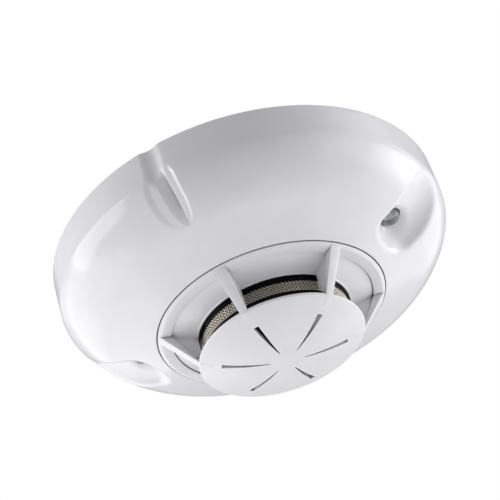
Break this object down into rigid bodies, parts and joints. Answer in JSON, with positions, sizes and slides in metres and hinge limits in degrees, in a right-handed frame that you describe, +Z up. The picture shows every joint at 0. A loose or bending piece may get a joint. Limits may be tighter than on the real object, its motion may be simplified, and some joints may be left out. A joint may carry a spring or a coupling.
{
  "type": "ceiling heat detector",
  "caption": "Round ceiling heat detector: domed twist-off head, ribbed cage with a slotted disc over an insect mesh, and clear indicator lamps in scooped recesses.",
  "frame": {"origin": "centre of the base plate's back face, in the plane of the ceiling", "axes": "+Z points up into the ceiling, so the detector hangs below z = 0; the indicator recesses face +X and -X, and the narrow grip grooves face +Y and -Y"},
  "size_m": [0.1, 0.0998, 0.0381],
  "materials": {
    "cover_plastic": "semi-gloss moulded white, slightly cool, fine mould grain",
    "cage_plastic": "semi-gloss moulded white",
    "base_plastic": "matt moulded white",
    "frame_plastic": "glossy black moulding",
    "woven_steel": "fine woven wire with warm glints",
    "chamber_plastic": "matt black, made to swallow stray light",
    "board_laminate": "green solder resist over glass laminate",
    "component_resin": "moulded component resin",
    "component_metal": "bright component metal",
    "emitter_resin": "blue-tinted clear resin",
    "clear_lens": "clear lamp resin",
    "brass_strip": "stamped brass strip",
    "screw_steel": "zinc plated screw"
  },
  "bodies": {
    "base": {"base_plate": "base_plastic", "base_contact_1": "brass_strip", "base_contact_2": "brass_strip", "base_contact_3": "brass_strip", "base_contact_4": "brass_strip", "clamp_plate_1": "brass_strip", "clamp_plate_2": "brass_strip", "clamp_plate_3": "brass_strip", "clamp_plate_4": "brass_strip"},
    "head": {"dome_cover": "cover_plastic", "head_chassis": "base_plastic", "head_contact_1": "brass_strip", "head_contact_2": "brass_strip", "head_contact_3": "brass_strip", "head_contact_4": "brass_strip", "cover_screw_1": "screw_steel", "cover_screw_2": "screw_steel", "cover_screw_3": "screw_steel", "cover_screw_4": "screw_steel", "circuit_board": "board_laminate", "microcontroller": "component_resin", "bridge_rectifier": "component_resin", "alarm_transistor": "component_resin", "capacitor_1": "component_metal", "capacitor_2": "component_metal", "indicator_led_1": "clear_lens", "indicator_led_2": "clear_lens", "chamber_base": "chamber_plastic", "infrared_emitter": "emitter_resin", "photodiode": "component_resin", "labyrinth": "chamber_plastic", "chamber_lid": "chamber_plastic", "thermistor_sleeve": "chamber_plastic", "thermistor": "component_metal"},
    "cage": {"protective_cage": "cage_plastic", "inner_dish": "cover_plastic", "mesh_frame": "frame_plastic", "insect_mesh": "woven_steel"},
    "screw_1": {"terminal_screw_1": "screw_steel"},
    "screw_2": {"terminal_screw_2": "screw_steel"},
    "screw_3": {"terminal_screw_3": "screw_steel"},
    "screw_4": {"terminal_screw_4": "screw_steel"}
  },
  "joints": [
    {"name": "head_twist", "type": "hinge", "parent": "base", "child": "head", "pos_m": [0, 0, 0], "axis": [0, 0, -1], "range_deg": [0, 18]},
    {"name": "cage_twist", "type": "hinge", "parent": "head", "child": "cage", "pos_m": [0, 0, 0], "axis": [0, 0, -1], "range_deg": [0, 15]},
    {"name": "terminal_screw_1_turn", "type": "hinge", "parent": "base", "child": "screw_1", "pos_m": [0.01362, 0.02673, -0.003], "axis": [0, 0, -1], "continuous": true},
    {"name": "terminal_screw_2_turn", "type": "hinge", "parent": "base", "child": "screw_2", "pos_m": [-0.02673, 0.01362, -0.003], "axis": [0, 0, -1], "continuous": true},
    {"name": "terminal_screw_3_turn", "type": "hinge", "parent": "base", "child": "screw_3", "pos_m": [-0.01362, -0.02673, -0.003], "axis": [0, 0, -1], "continuous": true},
    {"name": "terminal_screw_4_turn", "type": "hinge", "parent": "base", "child": "screw_4", "pos_m": [0.02673, -0.01362, -0.003], "axis": [0, 0, -1], "continuous": true}
  ]
}
